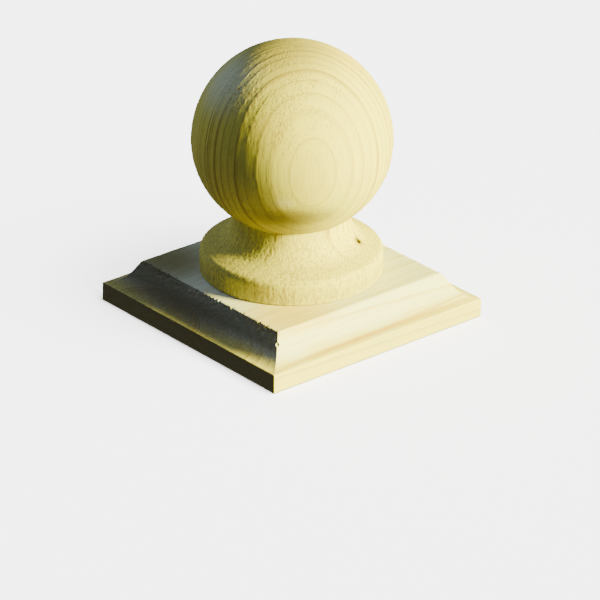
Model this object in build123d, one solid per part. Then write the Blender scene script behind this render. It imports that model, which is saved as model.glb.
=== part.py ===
from build123d import *
import math
import os

# Fence post cap: a moulded board that seats on a square post, with a turned ball and collar
# screwed down on its raised panel.
# Millimetres, +Z up. Origin at the centre of the board's underside, X along the board's grain.

# ---- moulded board ----
plate_side = 130.0          # square, over the vertical edges
plate_thickness = 22.5      # underside to raised panel
edge_height = 9.8           # vertical edge, underside to ledge
moulding_width = 14.0       # vertical edge to raised panel, in plan
slope_angle = 59.5          # steep upper slope of the moulding, from level
ledge_angle = 2.4           # fall of the ledge where it meets the vertical edge
panel_arris_radius = 1.4    # worn arris between panel and slope
ledge_arris_radius = 0.5    # eased arris between ledge and vertical edge
underside_ease = 0.6        # chamfer round the underside

# ---- turned finial: collar, neck and ball in one piece ----
collar_radius = 44.4
collar_rim_height = 8.7     # straight part of the rim
collar_round_width = 3.3    # elliptical round-over of the rim, in plan
collar_round_height = 4.1   # and upwards
collar_slope = 24.0         # fall of the collar's top from the flare out to the round-over
cove_radius = 12.0          # half widths of the ellipse that the hollow flare follows
cove_height = 15.0
neck_height = 0.4           # straight part of the neck, up to the crease under the ball
neck_radius = 28.2
ball_radius = 48.2
ball_flattening = 2.7       # the ball's lower half is this much shorter than its radius

# ---- double-ended dowel screw ----
screw_length = 50.0
wood_below_screw = 3.0      # timber left between the screw's lower point and the underside
thread_crest_radius = 4.0
thread_core_radius = 2.8
thread_pitch = 3.0
thread_crest_width = 0.16
thread_root_width = 1.5
shank_radius = 3.2          # plain middle
shank_length = 6.0
point_length = 4.5
point_radius = 0.5          # blunted end of each point

# ---- fits ----
thread_running_clearance = 0.05   # radial, crest of the thread to the wall of its pilot hole
pilot_end_clearance = 0.5         # beyond each point of the screw

# ---- holes for the fixings driven on site ----
post_screw_spacing = 54.0
post_screw_hole_radius = 2.25
post_screw_head_radius = 4.4
lock_nail_radius = 1.5
lock_nail_margin = 4.8            # from the neck out to the middle of the hole's mouth
lock_nail_azimuth = -54.0         # degrees from +X
lock_nail_lean = 35.0             # degrees from upright, so that a nail clears the ball


def moulding_outline():
    """Half section of the board in a plane through its centre: x out, y up."""
    half = plate_side / 2
    run = moulding_width
    drop = plate_thickness - edge_height
    steep = math.radians(slope_angle)
    shallow = math.radians(ledge_angle)
    # straight slope of length straight, then a cove of radius cove, tangent to it
    a, b = math.sin(steep) - math.sin(shallow), math.cos(shallow) - math.cos(steep)
    cove = (run * math.sin(steep) - drop * math.cos(steep)) / (
        a * math.sin(steep) - b * math.cos(steep))
    straight = (drop - b * cove) / math.sin(steep)
    panel = (half - run, plate_thickness)
    foot = (panel[0] + straight * math.cos(steep), panel[1] - straight * math.sin(steep))
    ledge_end = (half, edge_height)
    cove_start_dir = (math.cos(steep), -math.sin(steep))
    return panel, foot, ledge_end, cove_start_dir


def moulding_prism():
    """The moulded section run along X for the whole width of the board."""
    panel, foot, ledge_end, cove_dir = moulding_outline()
    half = plate_side / 2
    with BuildSketch(Plane.YZ.offset(-half)) as section:
        with BuildLine():
            Line((0, 0), (half - underside_ease, 0))
            Line((half - underside_ease, 0), (half, underside_ease))
            Line((half, underside_ease), ledge_end)
            TangentArc(foot, ledge_end, tangent=cove_dir)
            Line(foot, panel)
            Line(panel, (0, plate_thickness))
            Line((0, plate_thickness), (0, 0))
        make_face()
        fillet(nearest(section.vertices(), panel), radius=panel_arris_radius)
        fillet(nearest(section.vertices(), ledge_end), radius=ledge_arris_radius)
        mirror(about=Plane.YZ)
    return extrude(section.sketch, amount=plate_side)


def nearest(vertices, point):
    """The vertex of a section that lies nearest to a point of its outline."""
    return vertices.sort_by_distance((*point, 0))[0]


def post_screw_hole():
    """Countersunk through hole for one post screw, as the solid to take away."""
    radius, head = post_screw_hole_radius, post_screw_head_radius
    top = plate_thickness
    with BuildSketch(Plane.XZ) as section:
        with BuildLine():
            Polyline((0, -1), (radius, -1), (radius, top - (head - radius)), (head, top),
                     (head, top + 1), (0, top + 1), close=True)
        make_face()
    return revolve(section.sketch, axis=Axis.Z)


def make_cap_plate():
    """Square board, moulded on its four sides and mitred at the corners."""
    along_x = moulding_prism()
    plate = along_x & along_x.rotate(Axis.Z, 90)
    pilot_depth = screw_in_board() + pilot_end_clearance
    plate -= pilot_hole(plate_thickness - pilot_depth, pilot_depth + 1)
    offset = post_screw_spacing / 2
    for x in (-offset, offset):
        for y in (-offset, offset):
            plate -= post_screw_hole().moved(Location((x, y, 0)))
    return plate


def screw_in_board():
    """Length of the screw below the collar's seat."""
    return plate_thickness - wood_below_screw


def pilot_hole(bottom, depth):
    """Pilot hole for one end of the dowel screw, as the solid to take away."""
    radius = thread_crest_radius + thread_running_clearance
    hole = Cylinder(radius, depth, align=(Align.CENTER, Align.CENTER, Align.MIN))
    return hole.moved(Location((0, 0, bottom)))


def finial_outline():
    """Half section of the turning, from its axis out: x out, y up from the collar's seat."""
    slope = math.tan(math.radians(collar_slope))
    rim = (collar_radius, collar_rim_height)
    # the round-over and the flare both stop where they run at the slope of the collar's top
    over = math.atan2(collar_round_height, collar_round_width * slope)
    under = math.atan2(cove_radius * slope, cove_height)
    shoulder = (collar_radius - collar_round_width * (1 - math.cos(over)),
                collar_rim_height + collar_round_height * math.sin(over))
    foot_radius = neck_radius + cove_radius * (1 - math.sin(under))
    cove_foot = (foot_radius, shoulder[1] + slope * (shoulder[0] - foot_radius))
    cove_top = (neck_radius, cove_foot[1] + cove_height * math.cos(under))
    share = math.sqrt(1 - (neck_radius / ball_radius) ** 2)
    crease = (neck_radius, cove_top[1] + neck_height)
    centre = (0, crease[1] + (ball_radius - ball_flattening) * share)
    return rim, shoulder, cove_foot, cove_top, crease, centre


def round_angle(shoulder):
    """Turn of the round-over's ellipse, in degrees, from the rim to the shoulder."""
    return math.degrees(math.acos(
        (shoulder[0] - collar_radius + collar_round_width) / collar_round_width))


def flare_angle(cove_foot, cove_top):
    """Turn of the flare's ellipse, in degrees, from the neck to its foot."""
    return math.degrees(math.asin((cove_top[1] - cove_foot[1]) / cove_height))


def make_ball_finial():
    """Collar, neck and ball turned from one piece, with its grain upright."""
    rim, shoulder, cove_foot, cove_top, crease, centre = finial_outline()
    lower_height = ball_radius - ball_flattening
    low_angle = math.degrees(math.asin((crease[1] - centre[1]) / lower_height))
    with BuildSketch(Plane.XZ) as section:
        with BuildLine():
            Line((0, 0), (collar_radius, 0))
            Line((collar_radius, 0), rim)
            over = EllipticalCenterArc(
                (collar_radius - collar_round_width, rim[1]), collar_round_width,
                collar_round_height, start_angle=0, arc_size=round_angle(shoulder))
            flare = EllipticalCenterArc(
                (neck_radius + cove_radius, cove_top[1]), cove_radius, cove_height,
                start_angle=180, arc_size=flare_angle(cove_foot, cove_top))
            Line(over @ 1, flare @ 1)
            Line(cove_top, crease)
            EllipticalCenterArc(centre, ball_radius, lower_height,
                                start_angle=low_angle, arc_size=-low_angle)
            CenterArc(centre, ball_radius, 0, 90)
            Line((0, centre[1] + ball_radius), (0, 0))
        make_face()
    finial = revolve(section.sketch, axis=Axis.Z)
    finial -= pilot_hole(-1, screw_length - screw_in_board() + pilot_end_clearance + 1)
    finial -= lock_nail_hole()
    return finial.moved(Location((0, 0, plate_thickness)))


def lock_nail_hole():
    """Skew hole from the flare of the collar to its seat, for a nail driven past the ball."""
    mouth_radius = neck_radius + lock_nail_margin
    inward = 1 - lock_nail_margin / cove_radius
    cove_top = finial_outline()[3]
    mouth_height = cove_top[1] - cove_height * math.sqrt(1 - inward ** 2)
    lean = math.radians(lock_nail_lean)
    seat_reach = mouth_height / math.cos(lean) + 2
    hole = Cylinder(lock_nail_radius, seat_reach + 4,
                    align=(Align.CENTER, Align.CENTER, Align.MIN))
    hole = hole.moved(Location((0, 0, -seat_reach)))
    hole = hole.moved(Location((0, 0, 0), (0, lock_nail_lean, 0)))
    hole = hole.moved(Location((mouth_radius, 0, mouth_height)))
    return hole.moved(Location((0, 0, 0), (0, 0, lock_nail_azimuth)))


def screw_core():
    """Core of the dowel screw: a rod with a point at each end and a thicker plain middle."""
    low, high = -screw_in_board(), screw_length - screw_in_board()
    middle, half_shank = (low + high) / 2, shank_length / 2
    core = thread_core_radius
    with BuildSketch(Plane.XZ) as section:
        with BuildLine():
            Polyline(
                (0, low), (point_radius, low), (core, low + point_length),
                (core, middle - half_shank), (shank_radius, middle - half_shank),
                (shank_radius, middle + half_shank), (core, middle + half_shank),
                (core, high - point_length), (point_radius, high), (0, high), close=True)
        make_face()
    return revolve(section.sketch, axis=Axis.Z)


def thread(bottom, length):
    """One stretch of coarse wood-screw thread round the core."""
    helix = Helix(pitch=thread_pitch, height=length, radius=thread_core_radius)
    start = Plane(origin=helix @ 0, z_dir=helix % 0, x_dir=(1, 0, 0))
    height = thread_crest_radius - thread_core_radius
    bite = 0.2
    root, crest = thread_root_width / 2, thread_crest_width / 2
    with BuildSketch(start) as tooth:
        with BuildLine():
            Polyline((-bite, -root), (height, -crest), (height, crest), (-bite, root), close=True)
        make_face()
    return sweep(tooth.sketch, path=helix, is_frenet=True).moved(Location((0, 0, bottom)))


def make_dowel_screw():
    """Steel screw with a wood thread and a point at each end and a plain middle."""
    middle = screw_length / 2 - screw_in_board()
    tooth = thread_root_width / 2
    threaded = (screw_length - shank_length) / 2 - point_length - thread_root_width
    lower = thread(middle - shank_length / 2 - tooth - threaded, threaded)
    upper = thread(middle + shank_length / 2 + tooth, threaded)
    screw = screw_core() + lower + upper
    return screw.moved(Location((0, 0, plate_thickness)))


def write_part(name, shape):
    """Write one named piece as its own STEP file."""
    solids = shape.solids()
    if len(solids) != 1:
        raise ValueError(f"{name} came out as {len(solids)} solids")
    export_step(solids[0], os.path.join("parts", name + ".step"))


os.makedirs("parts", exist_ok=True)
write_part("cap_plate", make_cap_plate())
write_part("ball_finial", make_ball_finial())
write_part("dowel_screw", make_dowel_screw())
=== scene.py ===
"""Looks of a fence post cap: a moulded board, a turned ball on its collar, and the screw between."""

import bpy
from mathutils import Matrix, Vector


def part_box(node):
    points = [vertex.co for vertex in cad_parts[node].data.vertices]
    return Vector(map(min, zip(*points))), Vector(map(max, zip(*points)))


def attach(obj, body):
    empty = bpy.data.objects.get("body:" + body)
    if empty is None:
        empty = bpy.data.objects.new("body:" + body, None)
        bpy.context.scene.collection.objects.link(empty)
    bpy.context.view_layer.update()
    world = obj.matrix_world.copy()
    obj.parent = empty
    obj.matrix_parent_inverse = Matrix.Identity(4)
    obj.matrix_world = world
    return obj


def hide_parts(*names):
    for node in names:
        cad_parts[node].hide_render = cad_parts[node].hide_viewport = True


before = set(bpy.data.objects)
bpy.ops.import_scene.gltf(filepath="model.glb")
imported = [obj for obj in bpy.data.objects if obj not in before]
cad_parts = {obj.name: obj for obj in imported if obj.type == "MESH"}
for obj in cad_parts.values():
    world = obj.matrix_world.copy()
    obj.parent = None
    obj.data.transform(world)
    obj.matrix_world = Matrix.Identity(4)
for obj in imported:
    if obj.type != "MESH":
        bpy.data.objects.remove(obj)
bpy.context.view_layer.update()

import logging
import math
from dataclasses import dataclass, field
from enum import Enum

import bmesh
import bpy
from mathutils import Matrix, Vector

log = logging.getLogger("post_cap")

MM = 0.001                  # metres
MERGE = 1e-6                # metres, within which two vertices are one
ON_AXIS = 1e-9              # millimetres, within which a point is on the turning axis
Colour = tuple[float, float, float]
Point = tuple[float, float, float]
Face = tuple[int, ...]
Outline = list[tuple[float, float]]


class Body(Enum):
    """The bodies of the frame that pieces ride on."""

    CAP = "cap"
    SCREW = "screw"
    FINIAL = "finial"


class Timber(Enum):
    """Which way the grain of a piece runs, as a unit vector along it."""

    ALONG_X = (1.0, 0.0, 0.0)
    UPRIGHT = (0.0, 0.0, 1.0)


# --------------------------------------------------------------------------- node short-hand


class Graph:
    """Adds maths and texture nodes to a shader tree or a geometry tree."""

    def __init__(self, tree: bpy.types.NodeTree) -> None:
        """Start on a tree.

        Args:
            tree: the shader or geometry tree that receives the nodes.
        """
        self.tree = tree

    def node(self, kind: str, **settings: object) -> bpy.types.Node:
        """Add one node.

        Args:
            kind: the node's type name.
            settings: properties to set on it.

        Returns:
            The new node.
        """
        new = self.tree.nodes.new(kind)
        for name, value in settings.items():
            setattr(new, name, value)
        return new

    def plug(self, socket: bpy.types.NodeSocket, value: object) -> None:
        """Feed a socket with another socket, or set its value.

        Args:
            socket: the input to feed.
            value: a socket to link from, or a plain value.
        """
        if isinstance(value, bpy.types.NodeSocket):
            self.tree.links.new(value, socket)
        else:
            socket.default_value = value

    def math(self, operation: str, *values: object) -> bpy.types.NodeSocket:
        """One step of scalar arithmetic.

        Args:
            operation: the Math node's operation.
            values: its inputs, sockets or numbers.

        Returns:
            The result's socket.
        """
        new = self.node("ShaderNodeMath", operation=operation)
        for socket, value in zip(new.inputs, values):
            self.plug(socket, value)
        return new.outputs[0]

    def vector(self, operation: str, *values: object) -> bpy.types.NodeSocket:
        """One step of vector arithmetic.

        Args:
            operation: the Vector Math node's operation.
            values: its vector inputs; for SCALE the second is the factor.

        Returns:
            The result's socket, a number for DOT_PRODUCT and LENGTH.
        """
        new = self.node("ShaderNodeVectorMath", operation=operation)
        if operation == "SCALE":
            self.plug(new.inputs[0], values[0])
            self.plug(new.inputs["Scale"], values[1])
        else:
            for socket, value in zip(new.inputs, values):
                self.plug(socket, value)
        scalar = operation in {"DOT_PRODUCT", "LENGTH"}
        return new.outputs["Value" if scalar else "Vector"]

    def step(self, value: object, low: float, high: float) -> bpy.types.NodeSocket:
        """Smooth step from 0 at low to 1 at high.

        Args:
            value: the number to test.
            low: where the result leaves 0.
            high: where it reaches 1.

        Returns:
            The result's socket.
        """
        new = self.node("ShaderNodeMapRange", interpolation_type="SMOOTHSTEP")
        self.plug(new.inputs["Value"], value)
        rising = low < high
        new.inputs["From Min"].default_value = low if rising else high
        new.inputs["From Max"].default_value = high if rising else low
        new.inputs["To Min"].default_value = 0.0 if rising else 1.0
        new.inputs["To Max"].default_value = 1.0 if rising else 0.0
        return new.outputs["Result"]

    def noise(self, where: object, scale: float, detail: float = 2.0,
              roughness: float = 0.5) -> bpy.types.NodeSocket:
        """Plain noise around one half.

        Args:
            where: the point at which it is read.
            scale: how many features fit in one unit of length.
            detail: how many finer layers are added.
            roughness: how strong those layers are.

        Returns:
            The noise value's socket.
        """
        new = self.node("ShaderNodeTexNoise", noise_dimensions="3D")
        self.plug(new.inputs["Vector"], where)
        self.plug(new.inputs["Scale"], scale)
        self.plug(new.inputs["Detail"], detail)
        self.plug(new.inputs["Roughness"], roughness)
        return new.outputs[0]

    def tint(self, share: object, base: object, other: object) -> bpy.types.NodeSocket:
        """Mix two colours.

        Args:
            share: how much of the second colour.
            base: the first colour, a socket or three numbers.
            other: the second.

        Returns:
            The mixed colour's socket.
        """
        new = self.node("ShaderNodeMix", data_type="RGBA")
        self.plug(new.inputs[0], share)
        for socket, value in ((new.inputs[6], base), (new.inputs[7], other)):
            linked = isinstance(value, bpy.types.NodeSocket)
            self.plug(socket, value if linked else (*value, 1.0))
        return new.outputs[2]

    def lay(self, base: object, other: Colour, share: bpy.types.NodeSocket,
            strength: float) -> bpy.types.NodeSocket:
        """Lay a colour over another.

        Args:
            base: the colour underneath.
            other: the colour on top.
            share: where it lies, from 0 to 1.
            strength: how much of it shows there.

        Returns:
            The resulting colour's socket.
        """
        return self.tint(self.math("MULTIPLY", share, strength), base, other)

    def height(self, place: bpy.types.NodeSocket) -> bpy.types.NodeSocket:
        """How high a point is.

        Args:
            place: the point.

        Returns:
            Its Z, as a socket.
        """
        split = self.node("ShaderNodeSeparateXYZ")
        self.plug(split.inputs[0], place)
        return split.outputs["Z"]

    def bump(self, shader: bpy.types.Node, height: bpy.types.NodeSocket, strength: float,
             depth: float) -> None:
        """Feed a shader's normal with a bump.

        Args:
            shader: the shader.
            height: the bump's height, as a number around one.
            strength: how much of it shows.
            depth: how deep a height of one is, in millimetres.
        """
        bump = self.node("ShaderNodeBump")
        bump.inputs["Strength"].default_value = strength
        bump.inputs["Distance"].default_value = depth * MM
        self.plug(bump.inputs["Height"], height)
        self.plug(shader.inputs["Normal"], bump.outputs["Normal"])

    def close(self, given: bpy.types.Node, made: bpy.types.NodeSocket) -> None:
        """End a geometry tree: instances made real, the finish set, the result handed out.

        Args:
            given: the tree's Group Input, which has a Finish.
            made: the geometry so far.
        """
        real = self.node("GeometryNodeRealizeInstances")
        self.plug(real.inputs["Geometry"], made)
        finish = self.node("GeometryNodeSetMaterial")
        self.plug(finish.inputs["Geometry"], real.outputs["Geometry"])
        self.plug(finish.inputs["Material"], given.outputs["Finish"])
        out = self.node("NodeGroupOutput")
        self.plug(out.inputs["Geometry"], finish.outputs["Geometry"])


def geometry_tree(name: str, numbers: tuple[str, ...]) -> tuple[Graph, bpy.types.Node]:
    """Start a geometry tree that takes a Geometry, some numbers and a Finish.

    Args:
        name: the tree's name.
        numbers: the names of its number inputs.

    Returns:
        The graph to build in and the tree's Group Input.
    """
    tree = bpy.data.node_groups.new(name, "GeometryNodeTree")
    face = tree.interface
    face.new_socket("Geometry", in_out="INPUT", socket_type="NodeSocketGeometry")
    for label in numbers:
        face.new_socket(label, in_out="INPUT", socket_type="NodeSocketFloat")
    face.new_socket("Finish", in_out="INPUT", socket_type="NodeSocketMaterial")
    face.new_socket("Geometry", in_out="OUTPUT", socket_type="NodeSocketGeometry")
    graph = Graph(tree)
    return graph, graph.node("NodeGroupInput")


# --------------------------------------------------------------------------- the timber itself


@dataclass(frozen=True)
class GrainSockets:
    """What a point of timber is like: sockets from 0 to 1, and its place in millimetres."""

    late: bpy.types.NodeSocket
    fibre: bpy.types.NodeSocket
    torn: bpy.types.NodeSocket
    speckle: bpy.types.NodeSocket
    end: bpy.types.NodeSocket
    place: bpy.types.NodeSocket


@dataclass(frozen=True)
class Log:
    """The part of a log that a piece was cut from. Lengths in millimetres, in the frame's axes."""

    grain: Timber
    pith: Point  # one point on it
    lean: Point  # how far the pith strays from the grain's direction
    ring_width: float  # at near_radius
    wander: float  # how far a ring strays from a circle
    wander_size: float
    torn_towards: Point  # surfaces that face this way are torn
    torn_from: float  # cosine of the angle between the two where tearing starts
    torn_to: float  # and where it is full
    near_radius: float = 30.0
    tighten: float = 1.0  # over 1, the rings lie closer as they lie further out
    shift: float = 0.0  # in rings
    dense_radii: tuple[float, float] = (0.0, 1.0)  # between these the late wood darkens
    furred_heights: tuple[float, float] = (-2.0, -1.0)  # below these the surface is furred
    uneven: float = 5.0  # good years against poor ones
    uneven_scale: float = 0.09
    ring_draw: float = 0.16  # how fast a ring's shape changes along the grain
    faint: float = 0.45  # late wood's strength before dense_radii
    veiled: float = 0.35  # late wood's strength under the fur
    fibre_width: float = 0.75
    fibre_length: float = 16.0
    speckle_scale: float = 1.05
    speckle_draw: float = 0.45
    patch_scale: float = 0.055  # patches of torn grain
    fur: float = 0.8  # tearing where the surface is furred

    def axis(self) -> Vector:
        """Unit vector along the pith."""
        return (Vector(self.grain.value) + Vector(self.lean)).normalized()

    def read(self, graph: Graph, metres: bpy.types.NodeSocket,
             normal: bpy.types.NodeSocket) -> GrainSockets:
        """Work out the timber at a point, for a shader or for a surface's relief.

        Args:
            graph: the tree to build in.
            metres: the point's place on the piece.
            normal: the surface's normal there.

        Returns:
            The sockets that describe the timber.
        """
        axis = self.axis()
        place = graph.vector("SCALE", metres, 1.0 / MM)
        from_pith = graph.vector("SUBTRACT", place, self.pith)
        along = graph.vector("DOT_PRODUCT", from_pith, axis)
        run = graph.vector("SCALE", axis, along)
        across = graph.vector("SUBTRACT", from_pith, run)
        radius = graph.vector("LENGTH", across)
        slow = graph.vector("ADD", across, graph.vector("SCALE", run, self.ring_draw))
        bend = graph.math("SUBTRACT", graph.noise(slow, 1.0 / self.wander_size, 1.5), 0.5)
        radius = graph.math("MULTIPLY_ADD", bend, 2.0 * self.wander, radius)
        season = graph.node("ShaderNodeTexNoise", noise_dimensions="1D")
        graph.plug(season.inputs["W"], graph.math("MULTIPLY", radius, self.uneven_scale))
        season_sway = graph.math("SUBTRACT", season.outputs[0], 0.5)
        radius = graph.math("MULTIPLY_ADD", season_sway, self.uneven, radius)
        age = graph.math("POWER", graph.math("DIVIDE", radius, self.near_radius), self.tighten)
        years = self.near_radius / (self.tighten * self.ring_width)
        year = graph.math("FRACT", graph.math("MULTIPLY_ADD", age, years, self.shift))
        # through a year the wood darkens slowly, ends in a thin dark line, and starts pale again
        growing = graph.math("MULTIPLY", graph.step(year, 0.45, 0.95), 0.4)
        line = graph.math("MULTIPLY", graph.step(year, 0.82, 0.93), 0.6)
        stopping = graph.step(year, 1.0, 0.965)
        late = graph.math("MULTIPLY", graph.math("ADD", growing, line), stopping)
        darker = graph.math("MULTIPLY_ADD", graph.step(radius, *self.dense_radii),
                            1.0 - self.faint, self.faint)
        late = graph.math("MULTIPLY", late, darker)
        clear = graph.step(graph.height(place), *self.furred_heights)
        late = graph.math("MULTIPLY", late, graph.math(
            "MULTIPLY_ADD", clear, 1.0 - self.veiled, self.veiled))

        squeeze = graph.vector("SCALE", run, self.fibre_width / self.fibre_length)
        strand = graph.vector("ADD", across, squeeze)
        fibre = graph.noise(strand, 1.0 / self.fibre_width, 3.0, 0.6)
        tuft = graph.vector("ADD", across, graph.vector("SCALE", run, self.speckle_draw))
        speckle = graph.noise(tuft, self.speckle_scale, 2.5, 0.65)

        end = graph.math("ABSOLUTE", graph.vector("DOT_PRODUCT", normal, axis))
        facing = graph.vector("DOT_PRODUCT", normal, Vector(self.torn_towards).normalized())
        patch = graph.step(graph.noise(place, self.patch_scale), 0.34, 0.6)
        torn = graph.math("MULTIPLY", graph.step(facing, self.torn_from, self.torn_to), patch)
        furred = graph.math("MULTIPLY", graph.math("SUBTRACT", 1.0, clear), self.fur)
        torn = graph.math("MAXIMUM", torn, furred)
        return GrainSockets(late, fibre, torn, speckle, end, place)


@dataclass(frozen=True)
class StainOrPaintedLight:
    """A soft-edged patch of another colour: a real stain, or painted light or shade. Lengths in
    millimetres.
    """

    centre: Point
    reach: Point
    colour: Colour
    strength: float


@dataclass(frozen=True)
class Bleach:
    """Timber that the weather has paled above a ragged level. Lengths in millimetres."""

    colour: Colour
    heights: tuple[float, float]  # where it starts and where it is full
    strength: float
    raggedness: float = 5.0
    scale: float = 0.05  # of its patches
    late_hold: float = 0.6  # how far late wood keeps its colour


@dataclass(frozen=True)
class TreatedSoftwood:
    """Pale softwood, pressure treated to a yellow-green, bare and slightly furred."""

    name: str
    early: Colour
    late: Colour
    green: Colour
    rosy: Colour
    end_shade: Colour
    late_strength: float
    end_strength: float
    stains_and_painted_light: tuple[StainOrPaintedLight, ...]
    bleach: Bleach | None = None
    green_scale: float = 0.03
    green_strength: float = 0.4
    rosy_scale: float = 0.026
    rosy_strength: float = 0.25
    rosy_offset: Point = (113.0, 57.0, 31.0)  # keeps its patches clear of the green ones
    fibre_strength: float = 0.3
    speckle_strength: float = 0.45
    roughness: float = 0.82
    roughness_spread: float = 0.22
    specular: float = 0.28
    bump_strength: float = 0.3
    bump_depth: float = 0.22
    late_bump: float = 0.5
    fur_bump: float = 2.4
    fur_everywhere: float = 0.15

    def build(self, log_cut: Log) -> bpy.types.Material:
        """Make the material.

        Args:
            log_cut: where in the log the piece lies, for its rings and fibres.

        Returns:
            The finished material.
        """
        material = bpy.data.materials.new(self.name)
        material.use_nodes = True
        graph = Graph(material.node_tree)
        shader = material.node_tree.nodes["Principled BSDF"]
        spot = graph.node("ShaderNodeTexCoord")
        grain = log_cut.read(graph, spot.outputs["Object"], spot.outputs["Normal"])

        colour = graph.lay(self.early, self.late, grain.late, self.late_strength)
        cloud = graph.noise(grain.place, self.green_scale)
        colour = graph.lay(colour, self.green, graph.step(cloud, 0.42, 0.68),
                           self.green_strength)
        moved = graph.vector("ADD", grain.place, self.rosy_offset)
        flush = graph.noise(moved, self.rosy_scale, 2.5)
        colour = graph.lay(colour, self.rosy, graph.step(flush, 0.5, 0.72), self.rosy_strength)
        if self.bleach:
            colour = self.bleached(graph, grain, colour)
        # stains, and patches of painted light and shade, laid on in turn
        for mark in self.stains_and_painted_light:
            colour = self.stained_or_painted(graph, grain, colour, mark)
        hollow = graph.step(grain.fibre, 0.52, 0.3)
        colour = graph.lay(colour, self.late, hollow, self.fibre_strength)
        end = graph.step(grain.end, 0.45, 0.95)
        colour = graph.lay(colour, self.end_shade, end, self.end_strength)
        pits = graph.math("MULTIPLY", graph.step(grain.speckle, 0.52, 0.36), grain.torn)
        colour = graph.lay(colour, self.end_shade, pits, self.speckle_strength)
        graph.plug(shader.inputs["Base Color"], colour)

        matt = graph.math("MULTIPLY_ADD", grain.fibre, self.roughness_spread,
                          self.roughness - self.roughness_spread / 2)
        graph.plug(shader.inputs["Roughness"], matt)
        shader.inputs["Specular IOR Level"].default_value = self.specular
        height = graph.math("MULTIPLY_ADD", grain.late, self.late_bump, grain.fibre)
        fur = graph.math("MULTIPLY", grain.speckle,
                         graph.math("ADD", grain.torn, self.fur_everywhere))
        height = graph.math("MULTIPLY_ADD", fur, self.fur_bump, height)
        graph.bump(shader, height, self.bump_strength, self.bump_depth)
        return material

    def bleached(self, graph: Graph, grain: GrainSockets,
                 colour: bpy.types.NodeSocket) -> bpy.types.NodeSocket:
        """Pale the timber above a level.

        Args:
            graph: the tree to build in.
            grain: the timber there.
            colour: the colour so far.

        Returns:
            The paled colour's socket.
        """
        bleach = self.bleach
        patchy = graph.math("SUBTRACT", graph.noise(grain.place, bleach.scale, 3.0), 0.5)
        level = graph.math("MULTIPLY_ADD", patchy, bleach.raggedness, graph.height(grain.place))
        early = graph.math("MULTIPLY_ADD", grain.late, -bleach.late_hold, 1.0)
        pale = graph.math("MULTIPLY", graph.step(level, *bleach.heights), early)
        return graph.lay(colour, bleach.colour, pale, bleach.strength)

    def stained_or_painted(self, graph: Graph, grain: GrainSockets, colour: bpy.types.NodeSocket,
                mark: StainOrPaintedLight) -> bpy.types.NodeSocket:
        """Lay one stain or patch of painted light or shade over a colour; the fibres make its edge
        ragged.

        Args:
            graph: the tree to build in.
            grain: the timber there.
            colour: the colour so far.
            mark: the stain, or the patch of painted light or shade.

        Returns:
            The colour's socket, with the stain or the painted light or shade laid on.
        """
        away = graph.vector("SUBTRACT", grain.place, mark.centre)
        away = graph.vector("DIVIDE", away, mark.reach)
        ragged = graph.math("MULTIPLY_ADD", grain.fibre, 0.5, graph.vector("LENGTH", away))
        return graph.lay(colour, mark.colour, graph.step(ragged, 1.25, 0.35), mark.strength)


@dataclass(frozen=True)
class ZincPlate:
    """Bright zinc plating on the steel screw, dulled in patches."""

    name: str = "zinc_plate"
    bright: Colour = (0.62, 0.64, 0.66)
    dull: Colour = (0.42, 0.43, 0.42)
    cloud_scale: float = 0.4
    roughness: float = 0.15
    roughness_spread: float = 0.35
    scratch_draw: Point = (1.0, 1.0, 9.0)  # closes the scratches up along the screw
    bump_strength: float = 0.15
    bump_depth: float = 0.05

    def build(self) -> bpy.types.Material:
        """Make the plating.

        Returns:
            The finished material.
        """
        material = bpy.data.materials.new(self.name)
        material.use_nodes = True
        graph = Graph(material.node_tree)
        shader = material.node_tree.nodes["Principled BSDF"]
        place = graph.vector("SCALE", graph.node("ShaderNodeTexCoord").outputs["Object"],
                             1.0 / MM)
        cloud = graph.noise(place, self.cloud_scale, 4.0, 0.6)
        graph.plug(shader.inputs["Base Color"],
                   graph.tint(graph.step(cloud, 0.4, 0.65), self.bright, self.dull))
        graph.plug(shader.inputs["Roughness"], graph.math(
            "MULTIPLY_ADD", cloud, self.roughness_spread, self.roughness))
        shader.inputs["Metallic"].default_value = 1.0
        scratch = graph.noise(graph.vector("MULTIPLY", place, self.scratch_draw), 2.0, 3.0)
        graph.bump(shader, scratch, self.bump_strength, self.bump_depth)
        return material


# --------------------------------------------------------------------------- surface relief


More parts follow.
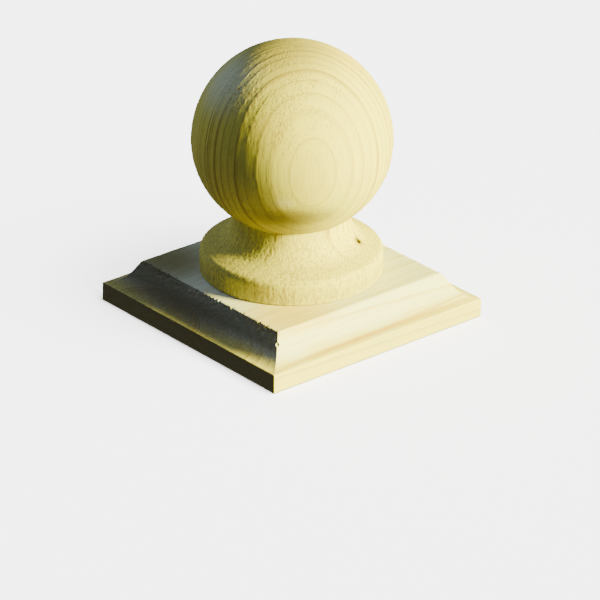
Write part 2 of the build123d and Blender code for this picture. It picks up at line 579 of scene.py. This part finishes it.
@dataclass(frozen=True)
class Relief:
    """Geometry nodes that sink a piece's surface by its rings, its fibres and its torn grain."""

    name: str
    log_cut: Log
    ring_depth: float
    fibre_depth: float
    torn_depth: float
    end_depth: float
    arris_depth: float = 0.0
    arris_reach: tuple[float, float] = (0.0, 1.0)  # from the board's middle, in millimetres
    arris_fade: float = 1.2
    end_scale: float = 0.9
    chip_scale: float = 0.62
    chip_draw: Point = (0.2, 1.0, 0.2)  # stretches a chip along the grain and down the slope

    def tree(self) -> bpy.types.NodeTree:
        """Build the tree, with its depths in millimetres as named inputs.

        Returns:
            The tree.
        """
        graph, given = geometry_tree(self.name, (
            "Ring depth", "Fibre depth", "Torn depth", "End depth", "Arris depth"))
        place = graph.node("GeometryNodeInputPosition").outputs[0]
        normal = graph.node("GeometryNodeInputNormal").outputs[0]
        grain = self.log_cut.read(graph, place, normal)

        soft = graph.math("SUBTRACT", 1.0, grain.late)
        depth = graph.math("MULTIPLY", soft, given.outputs["Ring depth"])
        low = graph.math("SUBTRACT", 1.0, grain.fibre)
        depth = graph.math("MULTIPLY_ADD", low, given.outputs["Fibre depth"], depth)
        pit = graph.math("MULTIPLY", graph.step(grain.speckle, 0.62, 0.3), grain.torn)
        depth = graph.math("MULTIPLY_ADD", pit, given.outputs["Torn depth"], depth)
        rough = graph.math("MULTIPLY", graph.step(grain.end, 0.5, 0.9),
                           graph.noise(grain.place, self.end_scale, 3.0, 0.7))
        depth = graph.math("MULTIPLY_ADD", rough, given.outputs["End depth"], depth)
        if self.arris_depth:
            depth = graph.math("ADD", depth, self.arris(graph, grain, given))
        shift = graph.vector("SCALE", normal, graph.math("MULTIPLY", depth, -MM))
        move = graph.node("GeometryNodeSetPosition")
        graph.plug(move.inputs["Geometry"], given.outputs["Geometry"])
        graph.plug(move.inputs["Offset"], shift)
        graph.close(given, move.outputs[0])
        return graph.tree

    def arris(self, graph: Graph, grain: GrainSockets,
              given: bpy.types.Node) -> bpy.types.NodeSocket:
        """Depth of the chips torn from the arris over the end grain.

        Args:
            graph: the tree to build in.
            grain: the timber there.
            given: the tree's inputs.

        Returns:
            The extra depth's socket.
        """
        split = graph.node("ShaderNodeSeparateXYZ")
        graph.plug(split.inputs[0], grain.place)
        out = graph.math("ABSOLUTE", split.outputs["X"])
        inner, outer = self.arris_reach
        near = graph.math("MULTIPLY", graph.step(out, inner, inner + self.arris_fade),
                          graph.step(out, outer, outer - self.arris_fade))
        beside = graph.math("GREATER_THAN", out, graph.math("ABSOLUTE", split.outputs["Y"]))
        chips = graph.noise(graph.vector("MULTIPLY", grain.place, self.chip_draw),
                            self.chip_scale, 3.0, 0.75)
        torn = graph.math("MULTIPLY", graph.step(chips, 0.52, 0.74), near)
        torn = graph.math("MULTIPLY", torn, beside)
        return graph.math("MULTIPLY", torn, given.outputs["Arris depth"])

    def carve(self, piece: bpy.types.Object, finish: bpy.types.Material) -> None:
        """Run the tree on a piece and keep the result as its plain mesh.

        Args:
            piece: the object whose surface is sunk.
            finish: the material it ends up with.
        """
        grow(piece, self.tree(), {
            "Ring depth": self.ring_depth, "Fibre depth": self.fibre_depth,
            "Torn depth": self.torn_depth, "End depth": self.end_depth,
            "Arris depth": self.arris_depth, "Finish": finish})


def grow(piece: bpy.types.Object, tree: bpy.types.NodeTree, inputs: dict[str, object]) -> None:
    """Run a geometry tree on an object and keep the result as its plain mesh.

    Args:
        piece: the object.
        tree: the tree.
        inputs: the values of the tree's inputs, by name.
    """
    modifier = piece.modifiers.new(tree.name, "NODES")
    modifier.node_group = tree
    for item in tree.interface.items_tree:
        if item.in_out == "INPUT" and item.name in inputs:
            modifier[item.identifier] = inputs[item.name]
    settle(piece)


def settle(piece: bpy.types.Object) -> None:
    """Turn a piece's modifiers into its plain mesh.

    Args:
        piece: the object to settle.
    """
    bpy.context.view_layer.update()
    depsgraph = bpy.context.evaluated_depsgraph_get()
    mesh = bpy.data.meshes.new_from_object(piece.evaluated_get(depsgraph))
    piece.modifiers.clear()
    old, piece.data = piece.data, mesh
    name = old.name
    bpy.data.meshes.remove(old)
    mesh.name = name


def make_piece(name: str, points: list[Point], faces: list[Face]) -> bpy.types.Object:
    """Make a mesh object with its faces pointing outwards.

    Args:
        name: the piece's name.
        points: its vertices in millimetres.
        faces: its faces, as numbers of vertices.

    Returns:
        The new object, in the scene.
    """
    mesh = bpy.data.meshes.new(name)
    mesh.from_pydata([[c * MM for c in point] for point in points], [], faces)
    shell = bmesh.new()
    shell.from_mesh(mesh)
    bmesh.ops.remove_doubles(shell, verts=shell.verts, dist=MERGE)
    bmesh.ops.recalc_face_normals(shell, faces=shell.faces)
    shell.to_mesh(mesh)
    shell.free()
    piece = bpy.data.objects.new(name, mesh)
    bpy.context.scene.collection.objects.link(piece)
    return piece


def lathe(outline: Outline, turns: int) -> tuple[list[Point], list[Face]]:
    """Spin an outline round the Z axis.

    Args:
        outline: radius and height of each point; a point on the axis closes the end.
        turns: how many steps make one full turn.

    Returns:
        The points and the faces.
    """
    points: list[Point] = []
    rings: list[list[int]] = []
    for radius, height in outline:
        start = len(points)
        if radius < ON_AXIS:
            points.append((0.0, 0.0, height))
            rings.append([start])
            continue
        for k in range(turns):
            angle = 2.0 * math.pi * k / turns
            points.append((radius * math.cos(angle), radius * math.sin(angle), height))
        rings.append(list(range(start, start + turns)))
    faces: list[Face] = []
    for low, high in zip(rings[:-1], rings[1:]):
        for k in range(turns):
            after = (k + 1) % turns
            if len(low) == 1:
                faces.append((low[0], high[after], high[k]))
            elif len(high) == 1:
                faces.append((low[k], low[after], high[0]))
            else:
                faces.append((low[k], low[after], high[after], high[k]))
    return points, faces


def cut(piece: bpy.types.Object, cutters: list[bpy.types.Object]) -> None:
    """Take cutters away from a piece and remove them.

    Args:
        piece: the object to cut.
        cutters: closed shells to take away.
    """
    for cutter in cutters:
        modifier = piece.modifiers.new(cutter.name, "BOOLEAN")
        modifier.operation = "DIFFERENCE"
        modifier.solver = "EXACT"
        modifier.object = cutter
    settle(piece)
    for cutter in cutters:
        mesh = cutter.data
        bpy.data.objects.remove(cutter)
        bpy.data.meshes.remove(mesh)


def arc(centre: tuple[float, float], radii: tuple[float, float], start: float, end: float,
        pitch: float) -> Outline:
    """Points along an elliptical arc.

    Args:
        centre: its centre.
        radii: its two half widths.
        start: the first angle, in degrees.
        end: the last angle.
        pitch: about how far apart the points lie.

    Returns:
        The points, both ends included.
    """
    sweep = math.radians(abs(end - start))
    count = max(2, round(sweep * max(radii) / pitch))
    angles = [math.radians(start + (end - start) * k / count) for k in range(count + 1)]
    return [(centre[0] + radii[0] * math.cos(a), centre[1] + radii[1] * math.sin(a))
            for a in angles]


def dense(ends: Outline, pitch: float) -> Outline:
    """Points along a run of straight lines, no further apart than a pitch.

    Args:
        ends: the corners of the run.
        pitch: the greatest step.

    Returns:
        The points, both ends included.
    """
    points = [ends[0]]
    for a, b in zip(ends[:-1], ends[1:]):
        count = max(1, math.ceil(math.dist(a, b) / pitch))
        points += [(a[0] + (b[0] - a[0]) * k / count, a[1] + (b[1] - a[1]) * k / count)
                   for k in range(1, count + 1)]
    return points


def finish_piece(piece: bpy.types.Object, body: Body, node: str,
                 material: bpy.types.Material, crease: float) -> None:
    """Dress a finished mesh and tie it to the frame.

    Args:
        piece: the object.
        body: the body it rides on.
        node: the CAD node it stands for.
        material: its finish.
        crease: edges sharper than this many degrees stay crisp.
    """
    piece.data.materials.clear()
    piece.data.materials.append(material)
    piece.data.polygons.foreach_set("use_smooth", [True] * len(piece.data.polygons))
    piece.data.set_sharp_from_angle(angle=math.radians(crease))
    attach(piece, body.value)
    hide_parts(node)
    log.info("%s: %d faces on body %s", piece.name, len(piece.data.polygons), body.value)


# --------------------------------------------------------------------------- the pieces


@dataclass
class CapPlate:
    """The square moulded board. Sizes in millimetres."""

    node: str = "cap_plate"
    edge_height: float = 9.8  # vertical edge
    moulding_width: float = 14.0  # vertical edge to raised panel, in plan
    slope_angle: float = 59.5  # from level, at the panel
    ledge_angle: float = 2.4  # from level, at the vertical edge
    arris_radius: float = 1.4
    ledge_ease: float = 0.5
    ease_turn: float = 80.0  # of the ledge's arris, in degrees
    cove_start: float = 3.0  # degrees of the hollow that the ledge's arris takes away
    underside_ease: float = 0.6
    pilot_radius: float = 4.05
    pilot_depth: float = 20.0
    screw_spacing: float = 54.0
    screw_hole_radius: float = 2.25
    screw_head_radius: float = 4.4
    nick_radius: float = 1.25  # a chip off the mitre at the corner of least x and y
    nick_half: float = 53.7
    nick_height: float = 18.0
    nick_turns: int = 14
    pilot_turns: int = 48
    screw_hole_turns: int = 32
    chips: tuple[float, float] = (1.4, 2.4)  # how far arris chips reach in and out from the panel
    over: float = 1.0  # how far a cutter stands out of the board
    steps_a_side: int = 200
    pitch: float = 0.7
    crease: float = 42.0  # degrees
    log_cut: Log = field(default_factory=lambda: Log(
        grain=Timber.ALONG_X, pith=(0.0, 26.0, -62.0), lean=(0.0, 0.035, 0.02),
        ring_width=5.2, wander=3.0, wander_size=60.0, fibre_length=30.0,
        torn_towards=(-1.0, 0.0, 0.25), torn_from=0.4, torn_to=0.8))

    def __post_init__(self) -> None:
        """Take the overall sizes from the frame."""
        low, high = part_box(self.node)
        self.half = (high.x - low.x) / 2 / MM
        self.base = low.z / MM
        self.top = high.z / MM

    def section(self) -> Outline:
        """Draw the board's edge from underside to panel.

        Returns:
            Half width and height of each point.
        """
        # the hollow is one arc, tangent to the slope and to the ledge, and ends at the edge
        steep, shallow = math.radians(self.slope_angle), math.radians(self.ledge_angle)
        drop = self.top - self.edge_height
        out = math.sin(steep) - math.sin(shallow)
        down = math.cos(shallow) - math.cos(steep)
        radius = (self.moulding_width * math.sin(steep) - drop * math.cos(steep)) / (
            out * math.sin(steep) - down * math.cos(steep))
        straight = (drop - down * radius) / math.sin(steep)
        panel = self.half - self.moulding_width
        foot = (panel + straight * math.cos(steep), self.top - straight * math.sin(steep))
        centre = (foot[0] + radius * math.sin(steep), foot[1] + radius * math.cos(steep))
        worn = self.arris_radius
        back = worn * math.tan(steep / 2)
        flat = (panel - back, self.top)
        lip = (panel + back * math.cos(steep), self.top - back * math.sin(steep))
        ease = self.ledge_ease
        edge = dense([(self.half - self.underside_ease, self.base),
                      (self.half, self.base + self.underside_ease),
                      (self.half, self.edge_height - ease)], self.pitch)
        corner = arc((self.half - ease, self.edge_height - ease), (ease, ease), 0,
                     self.ease_turn, 0.2)
        cove = arc(centre, (radius, radius), 270 - self.ledge_angle - self.cove_start,
                   270 - self.slope_angle, self.pitch)
        slope = dense([foot, lip], self.pitch)
        arris = arc((flat[0], self.top - worn), (worn, worn), 90 - self.slope_angle, 90, 0.3)
        return edge + corner[1:] + cove + slope[1:] + arris[1:]

    def shell(self) -> bpy.types.Object:
        """Make the board's closed shell, from square rings that share their mitres.

        Returns:
            The shell.
        """
        count = self.steps_a_side
        points: list[Point] = []
        faces: list[Face] = []
        section = self.section()
        for half, height in section:
            points += self.square(half, height, count)
        for row in range(len(section) - 1):
            low, high = row * 4 * count, (row + 1) * 4 * count
            for k in range(4 * count):
                after = (k + 1) % (4 * count)
                faces.append((low + k, low + after, high + after, high + k))
        for rim, (half, height) in ((0, section[0]), (len(section) - 1, section[-1])):
            self.lid(points, faces, rim * 4 * count, half, height)
        return make_piece("moulded_board", points, faces)

    def square(self, half: float, height: float, count: int) -> list[Point]:
        """Points round a square.

        Args:
            half: half its width.
            height: its height.
            count: how many steps make one side.

        Returns:
            The points, from the corner of least x and y and on towards +X.
        """
        corners = ((-1, -1), (1, -1), (1, 1), (-1, 1))
        ring: list[Point] = []
        for (ax, ay), (bx, by) in zip(corners, corners[1:] + corners[:1]):
            ring += [(half * (ax + (bx - ax) * k / count), half * (ay + (by - ay) * k / count),
                      height) for k in range(count)]
        return ring

    def lid(self, points: list[Point], faces: list[Face], rim: int, half: float,
            height: float) -> None:
        """Close a square ring with a grid of steps twice as wide.

        Args:
            points: the points so far, added to.
            faces: the faces so far, added to.
            rim: the number of the ring's first point.
            half: half the ring's width.
            height: its height.
        """
        fine, coarse = self.steps_a_side, self.steps_a_side // 2
        inset = half * (1 - 2 / coarse)
        inner = len(points)
        points += self.square(inset, height, coarse)
        for side in range(4):  # join the fine rim to the coarse ring inside it
            corner = inner + side * coarse
            start = rim + side * fine
            for k in range(coarse):
                a, b = start + 2 * k, start + 2 * k + 1
                c = rim + (side * fine + 2 * k + 2) % (4 * fine)
                low, high = corner + k, inner + (side * coarse + k + 1) % (4 * coarse)
                faces.extend([(a, b, low), (b, high, low), (b, c, high)])
        grid = len(points)
        row = coarse + 1
        for j in range(row):
            points += [(inset * (2 * i / coarse - 1), inset * (2 * j / coarse - 1), height)
                       for i in range(row)]
        for j in range(coarse):
            for i in range(coarse):
                k = grid + j * row + i
                faces.append((k, k + 1, k + row + 1, k + row))

    def cutters(self) -> list[bpy.types.Object]:
        """Make shells of the dowel screw's pilot hole, the nick and the four post screw holes.

        Returns:
            The closed shells to take away.
        """
        above, below = self.top + self.over, self.base - self.over
        bottom = self.top - self.pilot_depth
        pilot = [(0.0, bottom), (self.pilot_radius, bottom),
                 (self.pilot_radius, above), (0.0, above)]
        tools = [make_piece("pilot", *lathe(pilot, self.pilot_turns))]
        radius, head = self.screw_hole_radius, self.screw_head_radius
        hole = [(0.0, below), (radius, below), (radius, self.top - (head - radius)),
                (head, self.top), (head, above), (0.0, above)]
        nick = arc((0.0, 0.0), (self.nick_radius, self.nick_radius), -90, 90, 0.35)
        points, faces = lathe([(abs(r), h) for r, h in nick], self.nick_turns)
        spot = Vector((-self.nick_half, -self.nick_half, self.nick_height))
        tools.append(make_piece("mitre_nick", [tuple(spot + Vector(p)) for p in points], faces))
        pattern = make_piece("post_screws", *lathe(hole, self.screw_hole_turns))
        grow(pattern, self.pattern(), {"Spacing": self.screw_spacing * MM})
        tools.append(pattern)
        return tools

    def pattern(self) -> bpy.types.NodeTree:
        """Geometry nodes that repeat a shape at the corners of a square, Spacing apart.

        Returns:
            The tree.
        """
        graph, given = geometry_tree("screw_pattern", ("Spacing",))
        corners = graph.node("GeometryNodeMeshGrid")
        for label in ("Size X", "Size Y"):
            graph.plug(corners.inputs[label], given.outputs["Spacing"])
        for label in ("Vertices X", "Vertices Y"):
            graph.plug(corners.inputs[label], 2)
        spread = graph.node("GeometryNodeInstanceOnPoints")
        graph.plug(spread.inputs["Points"], corners.outputs["Mesh"])
        graph.plug(spread.inputs["Instance"], given.outputs["Geometry"])
        graph.close(given, spread.outputs["Instances"])
        return graph.tree

    def build(self, finish: TreatedSoftwood) -> bpy.types.Object:
        """Make the board.

        Args:
            finish: the timber's finish.

        Returns:
            The finished piece.
        """
        board = self.shell()
        timber = finish.build(self.log_cut)
        panel = self.half - self.moulding_width
        inward, outward = self.chips
        Relief("board_relief", self.log_cut, ring_depth=0.07, fibre_depth=0.08,
               torn_depth=0.12, end_depth=0.22, arris_depth=1.1,
               arris_reach=(panel - inward, panel + outward)).carve(board, timber)
        cut(board, self.cutters())
        finish_piece(board, Body.CAP, self.node, timber, self.crease)
        return board


@dataclass
class BallFinial:
    """Collar, neck and ball, turned in one piece. Sizes in millimetres."""

    node: str = "ball_finial"
    collar_radius: float = 44.4
    rim_height: float = 8.7  # straight part of the rim
    round_width: float = 3.3  # the rim's elliptical round-over
    round_height: float = 4.1
    collar_slope: float = 24.0  # fall of the collar's top, in degrees
    cove_radius: float = 12.0  # the elliptical flare up to the neck
    cove_height: float = 15.0
    neck_height: float = 0.4
    neck_radius: float = 28.2
    ball_lower_height: float = 45.5  # the ball's lower half is a little flat
    seat_ease: float = 0.4  # chamfer round the collar's seat
    bore_radius: float = 4.05
    bore_depth: float = 31.0
    nail_radius: float = 1.5
    nail_mouth_radius: float = 33.0  # from the axis to the hole's mouth
    nail_azimuth: float = -54.0  # from +X
    nail_lean: float = 35.0  # from upright
    nail_over: float = 4.0  # how far its cutter stands out at the mouth
    nail_under: float = 2.0  # and past the seat
    nail_turns: int = 24
    turns: int = 372
    pitch: float = 0.78
    hidden_pitch: float = 4.0  # in the bore and under the collar
    crease_angle: float = 50.0  # degrees
    log_cut: Log = field(default_factory=lambda: Log(
        grain=Timber.UPRIGHT, pith=(-37.0, -68.4, 92.0), lean=(0.022, 0.042, 0.0),
        ring_width=7.5, tighten=1.7, shift=0.22, dense_radii=(36.0, 52.0),
        furred_heights=(43.0, 56.0),
        wander=1.8, wander_size=46.0,
        torn_towards=(-0.45, -0.41, 0.80), torn_from=0.70, torn_to=0.95))

    def __post_init__(self) -> None:
        """Take the overall sizes from the frame."""
        low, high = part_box(self.node)
        self.seat = low.z / MM
        self.top = high.z / MM
        self.ball_radius = (high.x - low.x) / 2 / MM
        self.ball_centre = self.top - self.ball_radius
        self.sine = math.sqrt(1 - (self.neck_radius / self.ball_radius) ** 2)
        self.crease = self.ball_centre - self.ball_lower_height * self.sine
        self.cove_top = self.crease - self.neck_height

    def section(self) -> Outline:
        """Draw the turning from the blind end of its bore, round the seat, to the ball's top.

        Returns:
            Radius and height of each point.
        """
        seat, pitch, ease = self.seat, self.pitch, self.seat_ease
        blind = seat + self.bore_depth
        rim = (self.collar_radius, seat + self.rim_height)
        slope = math.tan(math.radians(self.collar_slope))
        over = math.degrees(math.atan2(self.round_height, self.round_width * slope))
        foot = 270.0 - math.degrees(math.atan2(self.cove_radius * slope, self.cove_height))
        low_angle = -math.degrees(math.asin(self.sine))
        centre = (0.0, self.ball_centre)
        line = dense([(0.0, blind), (self.bore_radius, blind), (self.bore_radius, seat),
                      (self.collar_radius - ease, seat)], self.hidden_pitch)
        line += dense([(self.collar_radius, seat + ease), rim], pitch)
        line += arc((rim[0] - self.round_width, rim[1]), (self.round_width, self.round_height),
                    0, over, 0.5)[1:]
        flare = arc((self.neck_radius + self.cove_radius, self.cove_top),
                    (self.cove_radius, self.cove_height), foot, 180, 0.6)
        line += dense([line[-1], flare[0]], pitch)[1:-1] + flare
        line += [(self.neck_radius, self.crease)]
        line += arc(centre, (self.ball_radius, self.ball_lower_height), low_angle, 0, pitch)[1:]
        line += arc(centre, (self.ball_radius, self.ball_radius), 0, 90, pitch)[1:-1]
        return line + [(0.0, self.top)]

    def nail_cutter(self) -> bpy.types.Object:
        """Make a shell of the skew nail hole.

        Returns:
            The closed shell to take away.
        """
        inward = 1 - (self.nail_mouth_radius - self.neck_radius) / self.cove_radius
        mouth = self.cove_top - self.cove_height * math.sqrt(1 - inward ** 2) - self.seat
        reach = mouth / math.cos(math.radians(self.nail_lean)) + self.nail_under
        points, faces = lathe([(0.0, -reach), (self.nail_radius, -reach),
                               (self.nail_radius, self.nail_over), (0.0, self.nail_over)],
                              self.nail_turns)
        place = (Matrix.Rotation(math.radians(self.nail_azimuth), 4, "Z")
                 @ Matrix.Translation((self.nail_mouth_radius, 0.0, self.seat + mouth))
                 @ Matrix.Rotation(math.radians(self.nail_lean), 4, "Y"))
        return make_piece("nail", [tuple(place @ Vector(p)) for p in points], faces)

    def build(self, finish: TreatedSoftwood) -> bpy.types.Object:
        """Make the turning.

        Args:
            finish: the timber's finish.

        Returns:
            The finished piece.
        """
        ball = make_piece("turned_ball", *lathe(self.section(), self.turns))
        timber = finish.build(self.log_cut)
        Relief("ball_relief", self.log_cut, ring_depth=0.15, fibre_depth=0.06,
               torn_depth=0.14, end_depth=0.05).carve(ball, timber)
        cut(ball, [self.nail_cutter()])
        finish_piece(ball, Body.FINIAL, self.node, timber, self.crease_angle)
        return ball


@dataclass
class DowelScrew:
    """The double-ended screw, whose CAD shape is kept."""

    node: str = "dowel_screw"

    def dress(self, finish: ZincPlate) -> bpy.types.Object:
        """Give the screw its plating.

        Args:
            finish: the plating.

        Returns:
            The CAD node's object.
        """
        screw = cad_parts[self.node]
        plating = finish.build()
        if not screw.material_slots:
            screw.data.materials.append(plating)
        for slot in screw.material_slots:
            slot.material = plating
        log.info("%s: CAD shape kept, plated", self.node)
        return screw


# --------------------------------------------------------------------------- studio


class FloorLink(Enum):
    """Whether a lamp lights the floor alone, or everything but the floor."""

    ALONE = "INCLUDE"
    LEFT_OUT = "EXCLUDE"


@dataclass(frozen=True)
class Lamp:
    """One distant lamp. Angles in degrees."""

    name: str
    azimuth: float  # where it shines from, turned from +X
    elevation: float
    energy: float
    softness: float  # how wide it looks
    colour: Colour
    floor_link: FloorLink

    def hang(self, floor: bpy.types.Object) -> None:
        """Add the lamp to the scene, linked to the floor as it says.

        Args:
            floor: the floor.
        """
        lamp = bpy.data.lights.new(self.name, "SUN")
        lamp.energy = self.energy
        lamp.angle = math.radians(self.softness)
        lamp.color = self.colour
        holder = bpy.data.objects.new(self.name, lamp)
        around, rise = math.radians(self.azimuth), math.radians(self.elevation)
        level = Vector((math.cos(around), math.sin(around), 0.0)) * math.cos(rise)
        towards = level + Vector((0.0, 0.0, math.sin(rise)))
        holder.rotation_euler = towards.to_track_quat("Z", "Y").to_euler()
        bpy.context.scene.collection.objects.link(holder)
        lit = bpy.data.collections.new(f"{self.name}_lights")
        lit.objects.link(floor)
        lit.collection_objects[0].light_linking.link_state = self.floor_link.value
        holder.light_linking.receiver_collection = lit


@dataclass
class Studio:
    """Pale floor, soft light and the camera. Angles in degrees, distances in board widths."""

    azimuth: float = -40.4
    elevation: float = 25.8
    roll: float = 0.43
    lens: float = 240.0  # millimetres, on the sensor below
    sensor: float = 36.0
    distance: float = 14.886
    aside: float = 0.033  # where the camera aims, beside and above the origin
    above: float = 0.031
    far_end: float = 100.0  # metres
    floor_reach: float = 40.0
    floor_colour: Colour = (0.86, 0.86, 0.85)
    floor_roughness: float = 0.9
    lamps: tuple[Lamp, ...] = (
        Lamp("key", azimuth=-59.5, elevation=19.5, energy=29.0, softness=15.0,
             colour=(1.0, 0.915, 0.25), floor_link=FloorLink.LEFT_OUT),
        Lamp("fill", azimuth=98.0, elevation=32.0, energy=0.95, softness=50.0,
             colour=(0.55, 0.69, 1.0), floor_link=FloorLink.LEFT_OUT),
        Lamp("wash", azimuth=-75.0, elevation=62.0, energy=22.0, softness=55.0,
             colour=(1.0, 1.0, 1.0), floor_link=FloorLink.ALONE))
    sky: Colour = (0.62, 0.76, 1.0)
    sky_strength: float = 0.16
    bounce: Colour = (0.20, 0.18, 0.14)
    horizon: tuple[float, float] = (-0.25, 0.45)  # where bounce gives way to sky

    def __post_init__(self) -> None:
        """Take the board's width from the frame as the unit of distance."""
        low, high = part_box("cap_plate")
        self.unit = high.x - low.x
        self.ground = low.z

    def floor(self) -> bpy.types.Object:
        """Lay the floor under the board, where it shows but throws no light back.

        Returns:
            The floor.
        """
        mesh = bpy.data.meshes.new("floor")
        reach = self.floor_reach * self.unit
        mesh.from_pydata([(-reach, -reach, self.ground), (reach, -reach, self.ground),
                          (reach, reach, self.ground), (-reach, reach, self.ground)],
                         [], [(0, 1, 2, 3)])
        floor = bpy.data.objects.new("floor", mesh)
        bpy.context.scene.collection.objects.link(floor)
        material = bpy.data.materials.new("pale_floor")
        material.use_nodes = True
        shader = material.node_tree.nodes["Principled BSDF"]
        shader.inputs["Base Color"].default_value = (*self.floor_colour, 1.0)
        shader.inputs["Roughness"].default_value = self.floor_roughness
        mesh.materials.append(material)
        floor.visible_diffuse = False
        floor.visible_glossy = False
        return floor

    def light(self, floor: bpy.types.Object) -> None:
        """Hang the lamps, and colour the sky and the light that comes up from below.

        Args:
            floor: the floor.
        """
        for lamp in self.lamps:
            lamp.hang(floor)
        world = bpy.data.worlds.new("sky")
        world.use_nodes = True
        graph = Graph(world.node_tree)
        shell = world.node_tree.nodes["Background"]
        towards = graph.node("ShaderNodeTexCoord").outputs["Generated"]
        height = graph.step(graph.height(towards), *self.horizon)
        above = tuple(c * self.sky_strength for c in self.sky)
        graph.plug(shell.inputs["Color"], graph.tint(height, self.bounce, above))
        bpy.context.scene.world = world

    def camera(self) -> None:
        """Place the camera."""
        around, rise = math.radians(self.azimuth), math.radians(self.elevation)
        right = Vector((math.cos(around), math.sin(around), 0.0))
        back = Vector((right.y, -right.x, 0.0)) * math.cos(rise)
        back.z = math.sin(rise)
        up = back.cross(right)
        target = (right * self.aside + up * self.above) * self.unit
        target.z += self.ground
        roll = math.radians(self.roll)
        level = right * math.cos(roll) + up * math.sin(roll)
        upright = up * math.cos(roll) - right * math.sin(roll)
        lens = bpy.data.cameras.new("camera")
        lens.lens = self.lens
        lens.sensor_width = self.sensor
        lens.clip_end = self.far_end
        camera = bpy.data.objects.new("camera", lens)
        turn = Matrix((level, upright, back)).transposed().to_4x4()
        camera.matrix_world = Matrix.Translation(target + back * self.distance * self.unit) @ turn
        bpy.context.scene.collection.objects.link(camera)
        bpy.context.scene.camera = camera

    def build(self) -> None:
        """Set the whole studio up."""
        self.light(self.floor())
        self.camera()
        log.info("studio: floor, lamps, sky and camera")


# --------------------------------------------------------------------------- the finishes

BOARD_TIMBER = TreatedSoftwood(
    "board_timber", early=(0.74, 0.67, 0.18), late=(0.46, 0.32, 0.07),
    green=(0.62, 0.64, 0.22), rosy=(0.78, 0.54, 0.13), end_shade=(0.125, 0.115, 0.062),
    late_strength=0.6, end_strength=0.9,
    bleach=Bleach((0.72, 0.77, 0.70), heights=(9.5, 14.0), strength=0.8),
    stains_and_painted_light=(
        # warm panel beside the front mitre
        StainOrPaintedLight((-34.0, -40.0, 22.5), (36.0, 28.0, 7.0), (0.78, 0.60, 0.09), 0.9),
        # painted shade on the panel behind the collar, where the collar and ball shade it
        StainOrPaintedLight((-42.0, 42.0, 22.5), (36.0, 36.0, 7.0), (0.22, 0.18, 0.04), 0.85),
        # painted shade over the -X moulding, the side turned from the key, deepening its end grain
        StainOrPaintedLight((-59.0, 18.0, 14.0), (13.0, 92.0, 10.0), (0.115, 0.075, 0.018), 0.92),
        # warm strip at the foot of the -Y slope
        StainOrPaintedLight((0.0, -61.5, 10.0), (95.0, 2.6, 2.5), (0.50, 0.31, 0.03), 0.85)))

TURNED_TIMBER = TreatedSoftwood(
    "turned_timber", early=(0.72, 0.66, 0.10), late=(0.34, 0.23, 0.03),
    green=(0.56, 0.59, 0.10), rosy=(0.72, 0.54, 0.08), end_shade=(0.34, 0.28, 0.07),
    late_strength=0.9, end_strength=0.2, speckle_strength=0.9,
    stains_and_painted_light=(
        # painted shade low on the ball's front, with a real pale fleck over it
        StainOrPaintedLight((-26.0, -32.0, 67.0), (30.0, 30.0, 10.0), (0.17, 0.14, 0.03), 0.85),
        StainOrPaintedLight((-32.6, -33.1, 76.5), (7.0, 7.0, 5.0), (0.74, 0.74, 0.42), 0.5),
        # painted sky light on the ball's shaded upper left, and painted shade on its crown, which
        # the key only grazes
        StainOrPaintedLight((-30.0, 9.6, 125.0), (28.0, 28.0, 24.0), (0.78, 0.84, 0.60), 0.75),
        StainOrPaintedLight((-4.0, -2.0, 138.0), (38.0, 38.0, 16.0), (0.22, 0.185, 0.05), 0.7),
        # painted shade at the foot of the rim, where the collar meets the board, and in and round
        # the nail hole
        StainOrPaintedLight((0.0, 0.0, 25.5), (70.0, 70.0, 7.5), (0.17, 0.14, 0.045), 0.8),
        StainOrPaintedLight((19.4, -26.7, 39.9), (4.2, 4.2, 4.6), (0.04, 0.03, 0.015), 0.97)))


def main() -> None:
    """Build and dress every piece, then set the studio round them."""
    logging.basicConfig(level=logging.INFO, format="%(name)s: %(message)s")
    CapPlate().build(BOARD_TIMBER)
    BallFinial().build(TURNED_TIMBER)
    DowelScrew().dress(ZincPlate())
    Studio().build()


if __name__ == "__main__":
    main()
